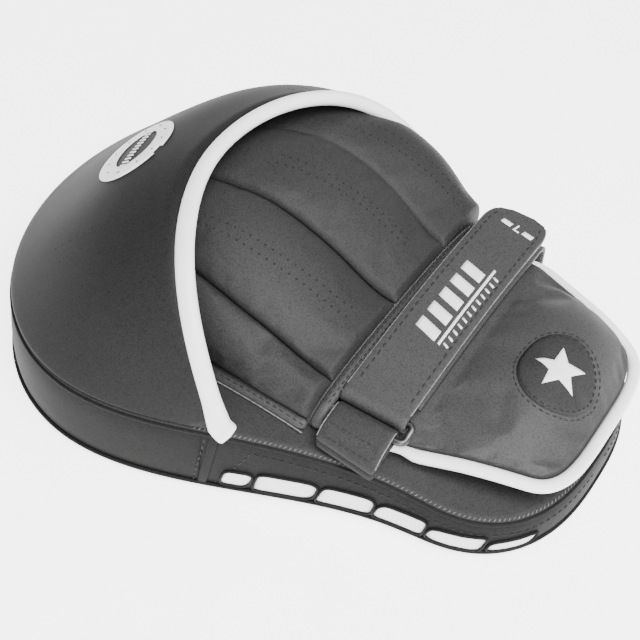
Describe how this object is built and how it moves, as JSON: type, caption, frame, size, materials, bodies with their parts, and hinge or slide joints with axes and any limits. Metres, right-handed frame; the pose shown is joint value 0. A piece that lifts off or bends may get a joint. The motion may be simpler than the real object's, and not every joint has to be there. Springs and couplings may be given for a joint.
{
  "type": "focus mitt",
  "caption": "Left-hand boxing focus mitt with padded hand panel, finger hood, lifting wrist cuff and a fold-back wrist strap.",
  "frame": {"origin": "middle of the bounding box base, on the strike face", "axes": "+Y towards the fingertips, +X towards the thumb side, +Z from the strike face up through the hand side"},
  "size_m": [0.2188, 0.2747, 0.0948],
  "materials": {
    "strike_face": "matte grained",
    "palm_cover": "matte grained",
    "finger_hood": "matte grained",
    "channel_index": "matte grained",
    "channel_middle": "matte grained",
    "channel_ring": "matte grained",
    "channel_little": "matte grained",
    "panel_wrist_binding": "matte grained",
    "panel_foot_near": "matte grained",
    "panel_foot_far": "matte grained",
    "wrist_bridge": "matte grained",
    "keeper_loop": "matte grained",
    "strap_base": "matte grained",
    "strap_flap": "matte grained",
    "cuff_shell": "matte grained",
    "gusset_seam_far": "matte grained",
    "gusset_seam_near": "matte grained",
    "finger_gusset": "matte grained",
    "wrist_gusset": "matte grained",
    "palm_grip": "matte grained",
    "thumb_loop": "matte grained",
    "cuff_patch": "matte grained",
    "impact_foam": "foam",
    "cuff_foam": "foam",
    "shock_foam": "foam",
    "damping_layer": "gel foam",
    "vent_far_1": "smooth",
    "vent_far_2": "smooth",
    "vent_far_3": "smooth",
    "vent_far_4": "smooth",
    "vent_far_5": "smooth",
    "vent_far_6": "smooth",
    "vent_near_1": "smooth",
    "vent_near_2": "smooth",
    "vent_near_3": "smooth",
    "vent_near_4": "smooth",
    "vent_near_5": "smooth",
    "vent_near_6": "smooth",
    "hood_piping": "smooth",
    "bridge_piping_near": "smooth",
    "bridge_piping_far": "smooth",
    "cuff_piping": "smooth",
    "hood_badge": "printed",
    "cuff_emblem": "printed",
    "panel_lining": "woven",
    "cuff_lining": "woven",
    "loop_patch": "woven",
    "hook_patch": "woven",
    "strap_ring": "satin black"
  },
  "bodies": {
    "mitt": {"strike_face": "strike_face", "palm_cover": "palm_cover", "finger_hood": "finger_hood", "channel_index": "channel_index", "channel_middle": "channel_middle", "channel_ring": "channel_ring", "channel_little": "channel_little", "panel_wrist_binding": "panel_wrist_binding", "panel_foot_near": "panel_foot_near", "panel_foot_far": "panel_foot_far", "wrist_bridge": "wrist_bridge", "keeper_loop": "keeper_loop", "strap_base": "strap_base", "gusset_seam_far": "gusset_seam_far", "gusset_seam_near": "gusset_seam_near", "finger_gusset": "finger_gusset", "wrist_gusset": "wrist_gusset", "palm_grip": "palm_grip", "thumb_loop": "thumb_loop", "impact_foam": "impact_foam", "shock_foam": "shock_foam", "damping_layer": "damping_layer", "vent_far_1": "vent_far_1", "vent_far_2": "vent_far_2", "vent_far_3": "vent_far_3", "vent_far_4": "vent_far_4", "vent_far_5": "vent_far_5", "vent_far_6": "vent_far_6", "vent_near_1": "vent_near_1", "vent_near_2": "vent_near_2", "vent_near_3": "vent_near_3", "vent_near_4": "vent_near_4", "vent_near_5": "vent_near_5", "vent_near_6": "vent_near_6", "hood_piping": "hood_piping", "bridge_piping_near": "bridge_piping_near", "bridge_piping_far": "bridge_piping_far", "hood_badge": "hood_badge", "panel_lining": "panel_lining", "loop_patch": "loop_patch"},
    "ring": {"strap_ring": "strap_ring"},
    "flap": {"strap_flap": "strap_flap", "hook_patch": "hook_patch"},
    "cuff": {"cuff_shell": "cuff_shell", "cuff_foam": "cuff_foam", "cuff_lining": "cuff_lining", "cuff_piping": "cuff_piping", "cuff_patch": "cuff_patch", "cuff_emblem": "cuff_emblem"}
  },
  "joints": [
    {"name": "ring_swing", "type": "hinge", "parent": "mitt", "child": "ring", "pos_m": [-0.0585, -0.0573, 0.0389], "axis": [0, -1, 0], "range_deg": [0, 35]},
    {"name": "flap_peel", "type": "hinge", "parent": "ring", "child": "flap", "pos_m": [-0.0505, -0.0573, 0.0415], "axis": [0, -1, 0], "range_deg": [0, 110]},
    {"name": "cuff_lift", "type": "hinge", "parent": "mitt", "child": "cuff", "pos_m": [0.003, -0.073, 0.04491], "axis": [-1, 0, 0], "range_deg": [0, 25]}
  ]
}
